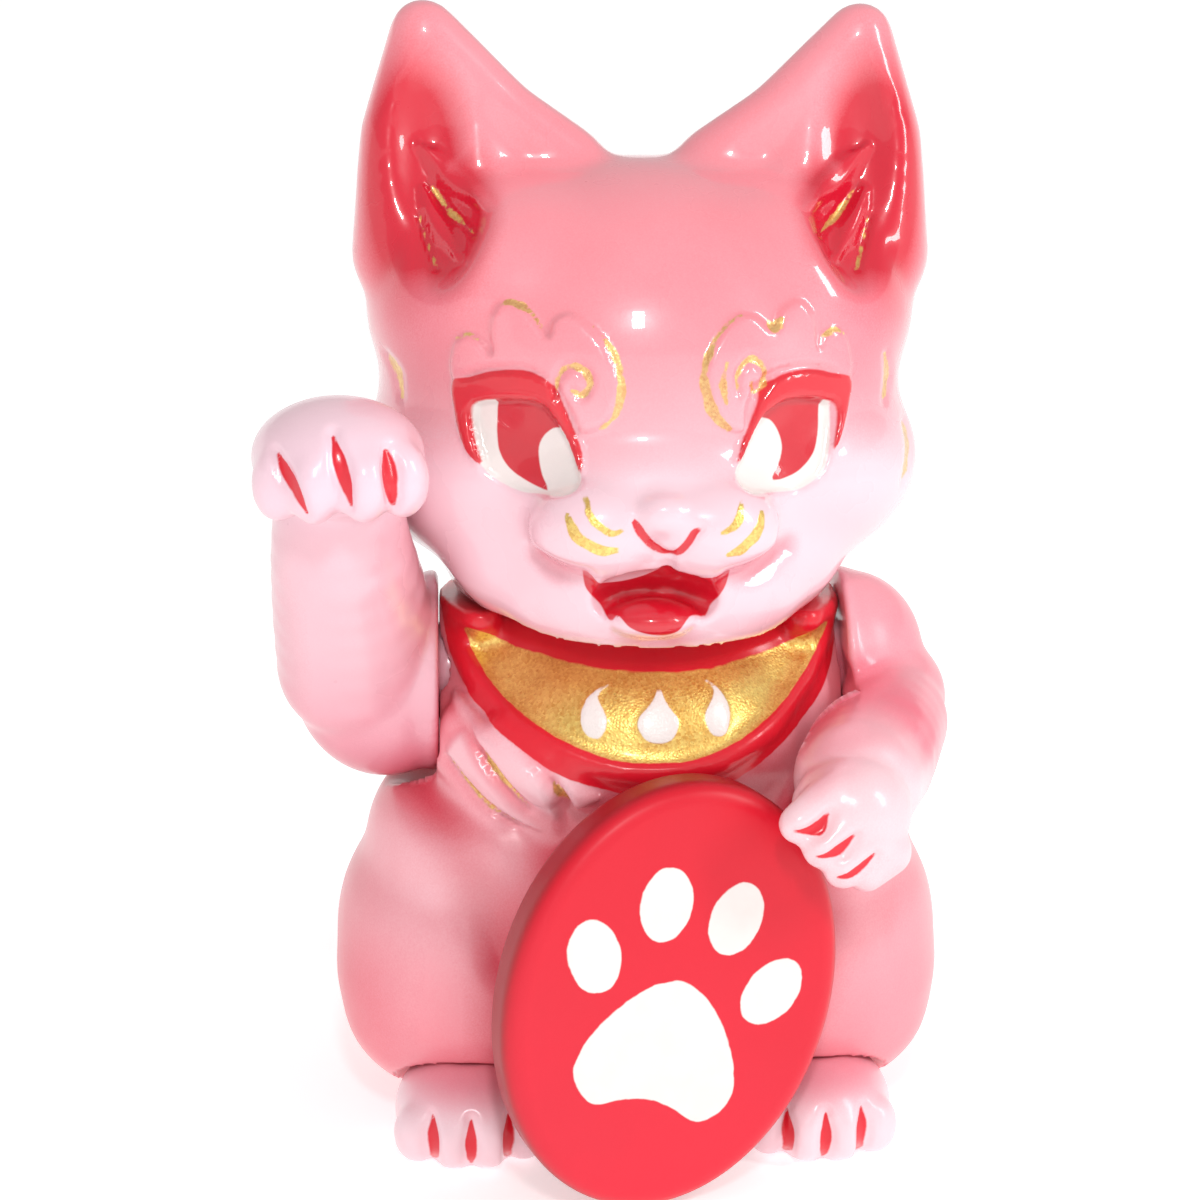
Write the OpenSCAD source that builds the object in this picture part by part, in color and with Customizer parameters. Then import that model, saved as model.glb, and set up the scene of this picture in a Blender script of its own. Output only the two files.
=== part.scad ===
// Beckoning cat figurine: eight hollow soft-vinyl castings that snap together at round lipped joints.
// Front is -Y, the cat's left is +X and +Z is up. The origin is on the base, under the neck axis.

/* [Body] */
// Height of the neck seat above the base
neck_z = 77; // [64:1:93]
// Width across the haunches
haunch_w = 90; // [75:1:108]
// Depth of the body from chest to back
body_d = 70; // [60:1:84]
// Width across the chest and shoulders
chest_w = 62; // [57:1:72]

/* [Head] */
// Width across the cheeks
head_w = 76; // [68:1:78]
// Depth of the skull from brow to nape
head_d = 64; // [57:1:66]
// Height from chin to crown
head_h = 66; // [60:1:78]
// Height of the ear tips above the crown
ear_h = 21; // [16:1:26]

/* [Arms] */
// Height of the raised paw above its shoulder axis
raise_h = 36; // [33:1:42]
// Radius of the raised forearm
forearm_r = 11; // [9.5:0.5:11.5]
// Reach of the lowered paw in front of its shoulder axis
reach = 41; // [38:1:47]

/* [Plaque, feet and tail] */
// Length of the oval plaque
plaque_l = 60; // [52:1:66]
// Width of the oval plaque
plaque_w = 47; // [40:1:52]
// Thickness of the oval plaque
plaque_t = 9; // [8:0.5:11]
// Width of one foot
foot_w = 22; // [19:0.5:25]
// Radius of the bobtail
tail_r = 9; // [8:0.5:11]

/* [Joints] */
// Wall of every vinyl casting
wall = 2.4; // [2:0.1:2.8]
// Radius of the neck stub
neck_r = 13; // [11:0.5:15]
// Radius of the shoulder stems
shoulder_r = 7; // [6:0.5:8]
// Radius of the ankle, tail and plaque stems
stem_r = 4.5; // [3.8:0.1:5]
// How far a snap lip stands out past its stem
lip = 1.4; // [1:0.1:1.8]
// Radial clearance of a stem in its hole
fit = 0.08; // [0.05:0.01:0.1]
// Gap between two castings that face each other
seam = 0.35; // [0.3:0.05:0.6]

/* [Hidden] */

pink = "#f2a0a8";
red = "#e01f38";

far = 200;             // longer than anything here, for cutting with half spaces
turn_fn = 72;          // steps round a joint face
skin_fn = 28;          // steps round an outer lump
cavity_fn = 16;        // steps round a hollow lump
unit = [1, 1, 1];

// The sculpts are drawn at these sizes and scaled to the sizes above.
drawn_body = [90, 70, 77];
drawn_chest_w = 62;
drawn_head = [76, 64, 66];
body_k = [haunch_w / drawn_body.x, body_d / drawn_body.y, neck_z / drawn_body.z];
chest_k = [chest_w / drawn_chest_w, body_k.y, body_k.z];
head_k = [head_w / drawn_head.x, head_d / drawn_head.y, head_h / drawn_head.z];

// Joints
lip_t = 1.6;                               // thickness of a snap lip
lip_play = 0.15;                           // end play behind a snap lip
lip_room = 0.8;                            // radial room round a lip inside a casting
socket_d = 8;                              // depth of that room
pad_r = 11;                                // radius of the round shoulder faces
neck_pad_r = neck_r + 4.5;
shoulder_x = chest_w / 2 - 2;              // the shoulder faces stand this far from the middle
right_shoulder = [-shoulder_x, -5 * body_k.y, neck_z - pad_r];
left_shoulder = [shoulder_x, -3 * body_k.y, neck_z - pad_r];
swing_r = 16.5;                            // a shoulder lump turns inside this radius

// Feet
foot_d = 26;                               // length of a foot
foot_h = 13.5;                             // height of the ankle joint
ankle = [25 * body_k.x, -17 * body_k.y, foot_h];
ankle_r = 7.2;                             // radius of the round ankle face
toe_out = 5;                               // the foot's middle lies this far in front of its ankle
foot_room = 2;                             // room round a foot for it to turn

// Tail
tail_root = [0, 33 * body_k.y, 16 * body_k.z];
tail_tilt = 25;                            // the tail's stem rises this far above level
tail_neck_r = 7;

// Plaque
plaque_turn = 15;                          // it faces this far to the cat's left
plaque_lean = 3;                           // its top leans back
plaque_roll = 17;                          // its long axis leans to the cat's left
plaque_edge = 3;                           // rounding of its rim
plaque_rise = norm([plaque_l / 2 * cos(plaque_roll), plaque_w / 2 * sin(plaque_roll)]) + 0.5;
plaque_at = [1.5, -41 * body_k.y, plaque_rise];
plaque_k = plaque_w / plaque_l;
boss_r = stem_r + lip + lip_room + wall;
grip = 0.5;                                // gap between the lowered paw and the plaque
hold = [0.732 * plaque_w / 2, 1.012 * plaque_l / 2]; // where the lowered paw grips, in the plaque's plane

// Middle of the lowered paw, measured from its shoulder axis
paw_x = plaque_at.x + hold.x * cos(plaque_roll) + hold.y * sin(plaque_roll) - left_shoulder.x;
paw_z = plaque_at.z - hold.x * sin(plaque_roll) + hold.y * cos(plaque_roll) - left_shoulder.z;
wrist_gap = [1.2, 10, 1.5];                // from the paw's middle back to the end of the forearm

// ---- shared shapes ----

// One ellipsoid of a sculpt: scaled by k, and grown by g on every side.
module lump(k, centre, radii, g = 0, fn = skin_fn, tilt = 0)
    translate([centre.x * k.x, centre.y * k.y, centre.z * k.z])
        rotate([0, tilt, 0])
            scale([radii.x * k.x + g, radii.y * k.y + g, radii.z * k.z + g])
                sphere(r = 1, $fn = fn);

// The same lump on both sides of the cat.
module lump_pair(k, centre, radii, g = 0, fn = skin_fn, tilt = 0)
    for (side = [0, 1]) mirror([side, 0, 0]) lump(k, centre, radii, g, fn, tilt);

// One ball that a limb's hull runs over.
module knuckle(at, r, fn = skin_fn) translate(at) sphere(r = r, $fn = fn);

module above(z) translate([-far / 2, -far / 2, z]) cube(far);
module below(z) translate([-far / 2, -far / 2, z - far]) cube(far);

// A hollow stem with a snap lip. It leaves its own casting's face at 0 along +Z.
module stem(r) {
    grip_l = seam + wall + lip_play;
    rotate_extrude($fn = turn_fn)
        polygon([
            [r - wall, -wall], [r, -wall], [r, grip_l], [r + lip, grip_l],
            [r + lip, grip_l + lip_t / 2], [r, grip_l + lip_t], [r - wall, grip_l + lip_t]
        ]);
}

// The bore through a stem, from the casting's own hollow.
module stem_bore(r) translate([0, 0, -socket_d]) cylinder(r = r - wall, h = socket_d * 3, $fn = turn_fn);

// The hole a stem turns in and the room for its lip. The casting's outer face is at 0, facing +Z.
module socket(r) {
    translate([0, 0, -wall - seam]) cylinder(r = r + fit, h = wall + seam * 2, $fn = turn_fn);
    translate([0, 0, -wall - socket_d]) cylinder(r = r + lip + lip_room, h = socket_d, $fn = turn_fn);
}

// Joint frames on the body, with +Z pointing out of it.
module at_neck() translate([0, 0, neck_z]) children();
module at_right_shoulder() translate(right_shoulder) rotate([0, -90, 0]) children();
module at_left_shoulder() translate(left_shoulder) rotate([0, 90, 0]) children();
module at_ankle(side) translate([side * ankle.x, ankle.y, ankle.z]) rotate([180, 0, 0]) children();
module at_tail() translate(tail_root) rotate([tail_tilt - 90, 0, 0]) children();

// The plaque's own frame: its middle at 0, its face towards +Z and its long axis along Y.
module at_plaque()
    translate(plaque_at) rotate([0, 0, plaque_turn]) rotate([-plaque_lean, 0, 0])
        rotate([0, plaque_roll, 0]) rotate([90, 0, 0]) children();

// The plaque's outline, grown by g, from height z up through h.
module plaque_block(g, z, h)
    translate([0, 0, z]) scale([plaque_w / 2 + g, plaque_l / 2 + g, h]) cylinder(r = 1, h = 1, $fn = 48);

// ---- body ----

// The sitting body: rump, haunches, ankles, belly, chest and shoulders.
module body_sculpt(g, fn) {
    lump(body_k, [0, 4, 22], [34, 31, 27], g, fn);
    lump_pair(body_k, [22.5, -5, 29], [22.5, 26, 23], g, fn);
    lump_pair(body_k, [25, -15, 20], [12.5, 13, 12], g, fn);
    lump(body_k, [0, -10, 34], [27, 26, 24], g, fn);
    lump(chest_k, [0, -1, 55], [31, 29, 25], g, fn);
    lump(chest_k, [0, -10, 59], [26, 23, 17], g, fn);
    lump_pair(chest_k, [14, -3, 61], [16, 20, 16], g, fn);
}

// The space a foot turns in, grown by g.
module foot_space(side, g)
    translate([side * ankle.x, ankle.y - toe_out, foot_h + g - far])
        scale([foot_w / 2 + foot_room + g, foot_d / 2 + foot_room + g, 1])
            cylinder(r = 1, h = far, $fn = skin_fn);

// The hollow, kept a full wall behind every joint face.
module body_cavity() {
    difference() {
        body_sculpt(-wall, cavity_fn);
        below(wall);
        above(neck_z - wall);
        at_right_shoulder() translate([0, 0, -wall]) cylinder(r = swing_r + wall, h = far, $fn = cavity_fn);
        at_left_shoulder() translate([0, 0, -wall]) cylinder(r = swing_r + wall, h = far, $fn = cavity_fn);
        at_tail() translate([0, 0, -wall]) cylinder(r = tail_neck_r + wall, h = far, $fn = cavity_fn);
        at_plaque() plaque_block(wall, -plaque_t / 2 - seam - wall, far);
        foot_space(-1, wall);
        foot_space(1, wall);
    }
}

// The round face an arm turns against, blended into the chest.
module shoulder_boss()
    translate([0, 0, -pad_r]) cylinder(r1 = pad_r - 2, r2 = pad_r, h = pad_r, $fn = skin_fn);

module body() color(pink) {
    difference() {
        union() {
            resize([0, 0, 0]) difference() {
                union() {
                    body_sculpt(0, skin_fn);
                    at_right_shoulder() shoulder_boss();
                    at_left_shoulder() shoulder_boss();
                    at_neck() mirror([0, 0, 1]) cylinder(r1 = neck_pad_r, r2 = neck_pad_r + 4, h = pad_r, $fn = skin_fn);
                }
                above(neck_z);
                at_right_shoulder() cylinder(r = swing_r, h = far, $fn = skin_fn);
                at_left_shoulder() cylinder(r = swing_r, h = far, $fn = skin_fn);
                at_tail() cylinder(r = tail_neck_r + wall, h = far, $fn = skin_fn);
                at_plaque() plaque_block(seam, -plaque_t / 2 - seam, far);
                foot_space(-1, 0);
                foot_space(1, 0);
            }
            at_plaque() translate([0, 0, -plaque_t / 2 - seam - socket_d]) cylinder(r = boss_r, h = socket_d, $fn = turn_fn);
            at_neck() stem(neck_r);
        }
        resize([0, 0, 0]) body_cavity();
        below(0);
        at_neck() stem_bore(neck_r);
        at_right_shoulder() socket(shoulder_r);
        at_left_shoulder() socket(shoulder_r);
        at_tail() socket(stem_r);
        at_plaque() translate([0, 0, -plaque_t / 2 - seam]) socket(stem_r);
        at_ankle(-1) socket(stem_r);
        at_ankle(1) socket(stem_r);
    }
}

// ---- head ----

// Everything on the head is measured up from the neck seat.
crown = 63 * head_k.z;
ear_tip_r = 4.5;

module ears(fn)
    for (side = [0, 1]) mirror([side, 0, 0]) hull() {
        knuckle([29.5 * head_k.x, -1, crown + ear_h - ear_tip_r], ear_tip_r, fn);
        knuckle([9 * head_k.x, 0, crown - 2.5], 6, fn);
        knuckle([31.5 * head_k.x, -2, crown - 12], 8, fn);
    }

// The dished fronts of the ears, and the open mouth.
module ear_dish() lump_pair([head_k.x, 1, 1], [25, -9.5, crown + 4], [7.5, 6.5, 11], tilt = 20);
module mouth(g) lump(head_k, [0, -36, 6.4], [9.4, 7, 4.3], g);

module head_sculpt(g, fn) {
    lump(head_k, [0, 0, 32], [35.5, 32, 31], g, fn);
    lump_pair(head_k, [13, 0, 42], [23.5, 25.5, 19.5], g, fn);
    lump_pair(head_k, [15, -4, 18.5], [22.5, 26, 18], g, fn);
    lump(head_k, [0, -22, 17], [21, 16, 13], g, fn);
    lump(head_k, [0, -16, 8.5], [25, 17, 12], g, fn);
}

// The muzzle's two whisker pads and the nose.
module whisker_pads() {
    lump_pair(head_k, [7, -32, 16.5], [9.5, 7.5, 6.5]);
    lump(head_k, [0, -37, 17.5], [4.5, 3.8, 3.6]);
}

// Clears the collar: flat over the neck seat, then falling away towards the chin.
module collar_clear(g)
    rotate_extrude($fn = 48)
        polygon([[0, -far / 2], [far / 2, -far / 2], [far / 2, -far / 4], [neck_pad_r + 2, seam + g], [0, seam + g]]);

module head() color(pink) at_neck() {
    difference() {
        resize([0, 0, 0]) difference() {
            union() {
                head_sculpt(0, skin_fn);
                whisker_pads();
                ears(24);
                cylinder(r1 = neck_pad_r, r2 = neck_pad_r + 8, h = 14, $fn = 48);
            }
            ear_dish();
            mouth(0);
            collar_clear(0);
        }
        resize([0, 0, 0]) difference() {
            head_sculpt(-wall, cavity_fn);
            mouth(wall);
            collar_clear(wall);
        }
        translate([0, 0, seam]) mirror([0, 0, 1]) socket(neck_r);
    }
}

// ---- arms ----

// The raised arm, measured from its shoulder axis at the shoulder face.
module raised_sculpt(g, fn) {
    lump(unit, [-7.5, -2, -0.5], [13.5, 13, 14.5], g, fn);
    hull() {
        knuckle([-12.5, -7, 6], forearm_r + g, fn);
        knuckle([-13.3, -20.5, raise_h - 12], forearm_r - 0.3 + g, fn);
    }
    lump(unit, [-13.6, -27.5, raise_h], [12.4, 13, 8.3], g, fn);
}

module right_arm() color(pink) {
    difference() {
        union() {
            resize([0, 0, 0]) translate(right_shoulder) difference() {
                raised_sculpt(0, skin_fn);
                translate([-seam, -far / 2, -far / 2]) cube(far);
            }
            at_right_shoulder() translate([0, 0, seam]) mirror([0, 0, 1]) stem(shoulder_r);
        }
        resize([0, 0, 0]) translate(right_shoulder) difference() {
            raised_sculpt(-wall, cavity_fn);
            translate([-seam - wall, -far / 2, -far / 2]) cube(far);
        }
        at_right_shoulder() stem_bore(shoulder_r);
    }
}

// The lowered arm, measured from its shoulder axis at the shoulder face.
module lowered_sculpt(g, fn) {
    lump(unit, [2, 0, 1.5], [11, 12.5, 12.5], g, fn);
    lump(unit, [8.3, -3, -5], [8.5, 12, 8.5], g, fn);
    hull() {
        knuckle([7.5, -11, -7], 9 + g, fn);
        knuckle([paw_x, -reach, paw_z] + wrist_gap, 8.3 + g, fn);
    }
    lump(unit, [paw_x, -reach, paw_z], [9.3, 9.5, 8], g, fn);
}

// The belly and haunches under the lowered arm, grown by g.
module lap(g, fn) {
    difference() {
        body_sculpt(g, fn);
        above(left_shoulder.z - pad_r);
    }
}

// The half space the chest fills beside the lowered arm.
module chest_side(x) translate([x - far, -21, -far / 2]) cube(far);

module left_arm() color(pink) {
    difference() {
        union() {
            resize([0, 0, 0]) difference() {
                translate(left_shoulder) difference() {
                    lowered_sculpt(0, skin_fn);
                    chest_side(seam);
                }
                at_plaque() plaque_block(grip, -plaque_t / 2 - grip, plaque_t + grip * 2);
                lap(seam, skin_fn);
            }
            at_left_shoulder() translate([0, 0, seam]) mirror([0, 0, 1]) stem(shoulder_r);
        }
        resize([0, 0, 0]) difference() {
            translate(left_shoulder) difference() {
                lowered_sculpt(-wall, cavity_fn);
                chest_side(seam + wall);
            }
            at_plaque() plaque_block(grip + wall, -plaque_t, plaque_t * 2);
            lap(seam + wall, cavity_fn);
        }
        at_left_shoulder() stem_bore(shoulder_r);
    }
}

// ---- plaque ----

// The oval disc with its rounded rim. g shrinks it all round.
module plaque_disc(g) {
    e = plaque_edge - g;
    hull() for (a = [0 : 30 : 90])
        scale([plaque_w / 2 - g - e * (1 - cos(a)), plaque_l / 2 - g - e * (1 - cos(a)), 1])
            cylinder(r = 1, h = plaque_t - g * 2 - e * (1 - sin(a)) * 2, center = true, $fn = 48);
}

module plaque() color(red) at_plaque() {
    difference() {
        union() {
            plaque_disc(0);
            translate([0, 0, -plaque_t / 2]) mirror([0, 0, 1]) stem(stem_r);
        }
        plaque_disc(wall);
        translate([0, 0, -socket_d * 2]) cylinder(r = stem_r - wall, h = socket_d * 2, $fn = turn_fn);
    }
}

// ---- tail and feet ----

module tail() color(pink) at_tail() {
    difference() {
        union() {
            intersection() {
                union() {
                    translate([0, 0, tail_r - 1]) scale([1, 1, 1.1]) sphere(r = tail_r, $fn = 48);
                    cylinder(r = tail_neck_r, h = tail_r, $fn = 48);
                }
                above(seam);
            }
            translate([0, 0, seam]) mirror([0, 0, 1]) stem(stem_r);
        }
        translate([0, 0, tail_r - 1]) scale([1, 1, 1.1]) sphere(r = tail_r - wall, $fn = 36);
        mirror([0, 0, 1]) stem_bore(stem_r);
    }
}

// The rounded foot, shrunk by g all round.
module foot_lump(side, g)
    translate([side * ankle.x, ankle.y - toe_out, foot_h * 0.41])
        scale([foot_w / 2 - g, foot_d / 2 - g, foot_h * 0.63 - g]) sphere(r = 1, $fn = 48);

module foot(side) color(pink) {
    difference() {
        union() {
            difference() {
                foot_lump(side, 0);
                above(foot_h - seam);
            }
            translate([side * ankle.x, ankle.y, foot_h / 2])
                cylinder(r1 = ankle_r + 1.5, r2 = ankle_r, h = foot_h / 2 - seam, $fn = turn_fn);
            at_ankle(side) translate([0, 0, seam]) mirror([0, 0, 1]) stem(stem_r);
        }
        foot_lump(side, wall);
        below(0);
        at_ankle(side) stem_bore(stem_r);
    }
}

body();
head();
right_arm();
left_arm();
plaque();
tail();
foot(-1);  // right_foot
foot(1);  // left_foot
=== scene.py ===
import math
import bmesh
import bpy
import numpy as np
from mathutils import Euler, Matrix, Vector


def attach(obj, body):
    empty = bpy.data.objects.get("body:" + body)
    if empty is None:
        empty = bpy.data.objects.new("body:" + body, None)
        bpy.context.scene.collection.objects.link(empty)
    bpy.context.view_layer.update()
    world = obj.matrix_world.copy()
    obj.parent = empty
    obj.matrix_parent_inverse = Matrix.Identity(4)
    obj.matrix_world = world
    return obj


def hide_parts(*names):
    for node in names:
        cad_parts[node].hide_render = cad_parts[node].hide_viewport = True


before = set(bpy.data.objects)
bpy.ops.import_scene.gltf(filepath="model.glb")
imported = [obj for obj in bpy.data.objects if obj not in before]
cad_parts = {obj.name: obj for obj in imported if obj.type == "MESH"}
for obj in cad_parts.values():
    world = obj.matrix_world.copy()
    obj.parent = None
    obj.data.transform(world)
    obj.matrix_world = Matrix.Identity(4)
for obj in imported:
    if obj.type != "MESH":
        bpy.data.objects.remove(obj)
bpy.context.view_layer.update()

# ---------------------------------------------------------------------------------------------
# Body: the sitting torso with rump, haunches, chest, collar and bib. It is one hollow soft-vinyl
# casting, turned out of a waxed mould in pale pink, then sprayed and brushed by hand.
# ---------------------------------------------------------------------------------------------
mm = 0.001


def ball(bm, centre, radii, turn=(0, 0, 0)):
    """One lump of modelling wax, in millimetres and degrees."""
    place = Matrix.Translation(Vector(centre) * mm)
    place = place @ Euler([math.radians(t) for t in turn]).to_matrix().to_4x4()
    place = place @ Matrix.Diagonal((radii[0] * mm, radii[1] * mm, radii[2] * mm, 1))
    bmesh.ops.create_icosphere(bm, subdivisions=4, radius=1, matrix=place)


def pair(bm, centre, radii, turn=(0, 0, 0)):
    """The same lump on both sides of the cat."""
    ball(bm, centre, radii, turn)
    ball(bm, (-centre[0], centre[1], centre[2]), radii, (turn[0], -turn[1], -turn[2]))


def roll(bm, *stops):
    """A rolled limb through (x, y, z, radius) stops."""
    last = None
    for a, b in zip(stops, stops[1:]):
        steps = 1 + int((Vector(b[:3]) - Vector(a[:3])).length / 0.4)
        for k in range(steps + 1):
            x, y, z, r = Vector(a).lerp(Vector(b), k / steps)
            if last is None or (Vector((x, y, z)) - last).length > 0.38 * r:
                bmesh.ops.create_icosphere(bm, subdivisions=3, radius=r * mm,
                                           matrix=Matrix.Translation(Vector((x, y, z)) * mm))
                last = Vector((x, y, z))


def melt(piece, voxel, strokes):
    """Welds the lumps into one skin and smooths it with that many strokes of a wet finger."""
    weld = piece.modifiers.new("weld", "REMESH")
    weld.mode, weld.voxel_size = "VOXEL", voxel * mm
    if strokes:
        finger = piece.modifiers.new("finger", "SMOOTH")
        finger.factor, finger.iterations = 0.5, strokes
    set_wax(piece)


def set_wax(piece):
    """Makes the modifiers on a piece real."""
    bpy.context.view_layer.update()
    skin = bpy.data.meshes.new_from_object(piece.evaluated_get(bpy.context.evaluated_depsgraph_get()))
    piece.modifiers.clear()
    old, piece.data = piece.data, skin
    bpy.data.meshes.remove(old)
    skin.name = piece.name


def wax(name, bm):
    """A new piece from a bmesh."""
    mesh = bpy.data.meshes.new(name)
    bm.to_mesh(mesh)
    bm.free()
    piece = bpy.data.objects.new(name, mesh)
    bpy.context.scene.collection.objects.link(piece)
    return piece


def press_on(piece, bm):
    """Adds lumps to a piece before its next melt."""
    bm.from_mesh(piece.data)
    bm.to_mesh(piece.data)
    bm.free()


def carve(piece, bm):
    """Takes the bmesh's volume out of a piece."""
    knife = wax("knife", bm)
    cut = piece.modifiers.new("cut", "BOOLEAN")
    cut.operation, cut.object, cut.solver = "DIFFERENCE", knife, "MANIFOLD"
    set_wax(piece)
    bpy.data.objects.remove(knife)


def drum(bm, centre, axis, radius, length, radius_end=None, oval=1.0):
    """A closed cylinder or cone from centre along axis. oval is its second width over its first."""
    place = (Matrix.Translation(Vector(centre) * mm)
             @ Vector(axis).to_track_quat("Z", "Y").to_matrix().to_4x4())
    place = place @ Matrix.Translation((0, 0, length * mm / 2)) @ Matrix.Diagonal((1, oval, 1, 1))
    bmesh.ops.create_cone(bm, cap_ends=True, segments=96, radius1=radius * mm,
                          radius2=(radius if radius_end is None else radius_end) * mm,
                          depth=length * mm, matrix=place)


def slab(bm, low, high):
    """A box between two corners."""
    low, high = Vector(low) * mm, Vector(high) * mm
    place = Matrix.Translation((low + high) / 2) @ Matrix.Diagonal((*(high - low), 1))
    bmesh.ops.create_cube(bm, size=1, matrix=place)


shoulder_x = 29.0
right_shoulder = (-shoulder_x, -5, 66)
left_shoulder = (shoulder_x, -3, 66)
swing_r = 16.5
shoulder_hole_r = 7.1
shoulder_stem_r = 6.3
stem_r = 3.9
arm_seam = 0.12
ankle = (25, -17, 13.5)
ankle_seam = 0.15
tail_root = (0, 33, 16)
tail_axis = (0, 0.906308, 0.422618)

bm = bmesh.new()
ball(bm, (0, 4, 22), (36, 31, 27))
pair(bm, (22.6, -4, 27.5), (22, 26, 21.5))
pair(bm, (23.2, -6, 22), (21.6, 23.5, 18.5))
pair(bm, (24, -8, 17), (19.8, 19, 14.5))
pair(bm, (25, -15, 20), (13.5, 13, 12))
pair(bm, (21, -6, 42), (19, 22, 15))
ball(bm, (0, -10, 34), (27, 26, 24))
ball(bm, (0, -1, 55), (31, 29, 25))
ball(bm, (0, -10, 59), (26, 23, 17))
pair(bm, (14, -3, 61), (17, 20, 17))
pair(bm, (17, -4, 66), (14, 13, 12))
body = wax("body_casting", bm)
melt(body, 1.2, 24)


def skin_y(piece, x, z):
    """Where the piece's front skin lies, straight in from the front at x and z."""
    start, inward = Vector((x * mm, -0.2, z * mm)), Vector((0, 1, 0))
    hit, spot, _, _ = piece.ray_cast(start, inward)
    return spot.y / mm if hit else 0.0


def front_roll(bm, piece, *stops, sink=0.4):
    """A roll of wax laid on a piece's front through (x, z, radius) stops, sunk by part of its radius."""
    laid = []
    for a, b in zip(stops, stops[1:]):
        for k in range(4):
            x, z, r = Vector(a).lerp(Vector(b), k / 4)
            laid.append((x, skin_y(piece, x, z) + r * sink, z, r))
    x, z, r = stops[-1]
    laid.append((x, skin_y(piece, x, z) + r * sink, z, r))
    roll(bm, *laid)


# the collar over the shoulders, the rolled hem of the bib and three tufts of fur under the raised arm
bm = bmesh.new()
arc = [math.radians(a) for a in range(-30, 211, 12)]
roll(bm, *[(26.5 * math.cos(a), -2 + 24 * math.sin(a), 75.4, 3) for a in arc])
front_roll(bm, body, (-27.5, 73, 2.2), (-23.5, 68, 2.3), (-17.5, 63, 2.3), (-9, 59.3, 2.3), (0, 58, 2.3),
           (9, 59.3, 2.3), (16, 62.6, 2.3), (21.7, 67.3, 2.2), (25.5, 72.5, 2.2), (27.8, 77, 2.2))
front_roll(bm, body, (-28.5, 60, 5), (-25, 55, 4.6), (-21, 49.6, 1.6), sink=0.3)
front_roll(bm, body, (-24, 61, 5), (-18.4, 55.6, 4.4), (-12.8, 48.6, 1.6), sink=0.3)
front_roll(bm, body, (-19, 61, 4.4), (-13, 57.6, 4), (-6.6, 53.6, 1.4), sink=0.3)
press_on(body, bm)
melt(body, 0.8, 3)

# the joint faces, the seats of the feet and plaque, and the flat base
bm = bmesh.new()
drum(bm, right_shoulder, (-1, 0, 0), swing_r, 30)
drum(bm, left_shoulder, (1, 0, 0), swing_r, 30)
carve(body, bm)
bm = bmesh.new()
drum(bm, right_shoulder, (1, 0, 0), shoulder_hole_r, 5)
drum(bm, left_shoulder, (-1, 0, 0), shoulder_hole_r, 5)
drum(bm, tail_root, tail_axis, 9.4, 20)
drum(bm, (0, 0, 77), (0, 0, 1), 31, 20, radius_end=44)
carve(body, bm)
bm = bmesh.new()
for side in (-1, 1):
    drum(bm, (side * ankle[0], ankle[1], 0), (0, 0, 1), 9.3, ankle[2])
carve(body, bm)
bm = bmesh.new()
pair(bm, (ankle[0], ankle[1] - 5, 4.4), (12.6, 14.6, 9.8))
slab(bm, (-60, -60, -20), (60, 60, 0))
carve(body, bm)

plaque_l, plaque_w, plaque_t = 60.0, 47.0, 9.0
plaque_rise = math.hypot(plaque_l / 2 * math.cos(math.radians(17)),
                         plaque_w / 2 * math.sin(math.radians(17))) + 0.5
plaque_frame = (Matrix.Translation(Vector((1.5, -41, plaque_rise)) * mm)
                @ Matrix.Rotation(math.radians(15), 4, "Z")
                @ Matrix.Rotation(math.radians(-3), 4, "X") @ Matrix.Rotation(math.radians(17), 4, "Y")
                @ Matrix.Rotation(math.radians(90), 4, "X"))
bm = bmesh.new()
drum(bm, (0, 0, -plaque_t / 2 - 0.35), (0, 0, 1), plaque_w / 2 + 0.5, 40,
     oval=(plaque_l + 1) / (plaque_w + 1))
bmesh.ops.transform(bm, matrix=plaque_frame, verts=bm.verts)
carve(body, bm)
melt(body, 0.6, 2)


def spots(piece):
    """Every point of a piece, in millimetres."""
    out = np.empty(len(piece.data.vertices) * 3)
    piece.data.vertices.foreach_get("co", out)
    return out.reshape(-1, 3) / mm


def outward(piece):
    """The outward direction at every point."""
    out = np.empty(len(piece.data.vertices) * 3)
    piece.data.vertex_normals.foreach_get("vector", out)
    return out.reshape(-1, 3)


def from_front(piece, deepest=-4.0):
    """Each point's (x, z) as a brush in front of the cat meets it. Points it can't reach are put far off."""
    at, way = spots(piece), outward(piece)
    flat = at[:, [0, 2]].copy()
    flat[(at[:, 1] > deepest) | (way[:, 1] > 0.25)] = 999
    return flat


def sweep(stops, closed=False):
    """A smooth line through given stops, eight short steps to each."""
    p = np.array(stops, float)
    q = np.vstack((p[-1:], p, p[:2])) if closed else np.vstack((2 * p[:1] - p[1:2], p, 2 * p[-1:] - p[-2:-1]))
    line = [0.5 * (2 * b + (c - a) * t + (2 * a - 5 * b + 4 * c - d) * t * t
                   + (3 * b - a - 3 * c + d) * t ** 3)
            for a, b, c, d in zip(q, q[1:], q[2:], q[3:]) for t in np.linspace(0, 1, 8, endpoint=False)]
    return np.array(line + [p[0] if closed else p[-1]])


def gap_to(flat, line):
    """How far each point is from a line, less half the line's width where its stops give one."""
    gap = np.full(len(flat), 9.0)
    near = np.all((flat > line[:, :2].min(0) - 6) & (flat < line[:, :2].max(0) + 6), axis=1)
    at, best = flat[near], np.full(near.sum(), 9.0)
    for a, b in zip(line, line[1:]):
        run = b[:2] - a[:2]
        t = np.clip((at - a[:2]) @ run / max(run @ run, 1e-9), 0, 1)
        away = np.hypot(*(at - a[:2] - t[:, None] * run).T)
        best = np.minimum(best, away - (a[2] + (b[2] - a[2]) * t) / 2 if len(a) > 2 else away)
    gap[near] = best
    return gap


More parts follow.
